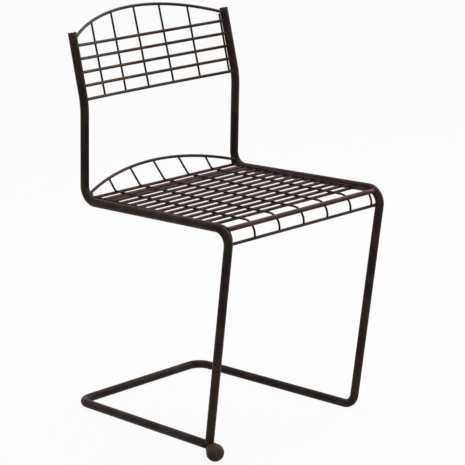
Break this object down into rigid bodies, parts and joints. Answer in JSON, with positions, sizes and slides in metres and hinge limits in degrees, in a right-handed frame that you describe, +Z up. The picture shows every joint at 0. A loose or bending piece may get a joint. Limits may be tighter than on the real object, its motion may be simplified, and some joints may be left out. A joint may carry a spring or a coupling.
{
  "type": "wire mesh chair",
  "caption": "Cantilever side chair: a bent steel tube frame with a welded wire mesh seat and backrest, a tapered floor loop and a ball foot.",
  "frame": {"origin": "On the floor, under the middle of the chair's outer size.", "axes": "+Z is up, -Y is the way a seated person faces, and +X is the side of the frame that is bent in one piece with the floor loop, on the right in a view from the front."},
  "size_m": [0.4426, 0.4918, 0.8101],
  "materials": {
    "frame_paint": "satin dark brown paint",
    "ball_paint": "satin dark brown paint",
    "wire_paint": "satin dark brown paint with a rusty tint",
    "plug_plastic": "matt dark brown"
  },
  "bodies": {
    "root": {"left_side_tube": "frame_paint", "base_and_right_side_tube": "frame_paint", "ball_foot": "ball_paint", "left_post_plug": "plug_plastic", "right_post_plug": "plug_plastic", "back_arch_wire": "wire_paint", "back_cross_wire_1": "wire_paint", "back_cross_wire_2": "wire_paint", "back_cross_wire_3": "wire_paint", "back_cross_wire_4": "wire_paint", "back_cross_wire_5": "wire_paint", "back_upright_wire_1": "wire_paint", "back_upright_wire_2": "wire_paint", "back_upright_wire_3": "wire_paint", "back_upright_wire_4": "wire_paint", "back_upright_wire_5": "wire_paint", "back_edge_wire_left": "wire_paint", "back_edge_wire_right": "wire_paint", "seat_lip_arch_wire": "wire_paint", "seat_fold_wire": "wire_paint", "seat_rear_rod": "wire_paint", "seat_cross_wire_01": "wire_paint", "seat_cross_wire_02": "wire_paint", "seat_cross_wire_03": "wire_paint", "seat_cross_wire_04": "wire_paint", "seat_cross_wire_05": "wire_paint", "seat_cross_wire_06": "wire_paint", "seat_cross_wire_07": "wire_paint", "seat_cross_wire_08": "wire_paint", "seat_cross_wire_09": "wire_paint", "seat_cross_wire_10": "wire_paint", "seat_cross_wire_11": "wire_paint", "seat_cross_wire_12": "wire_paint", "seat_front_rod": "wire_paint", "seat_front_low_wire": "wire_paint", "seat_long_wire_1": "wire_paint", "seat_long_wire_2": "wire_paint", "seat_long_wire_3": "wire_paint", "seat_long_wire_4": "wire_paint", "seat_long_wire_5": "wire_paint", "seat_edge_wire_left": "wire_paint", "seat_edge_wire_right": "wire_paint"}
  },
  "joints": []
}
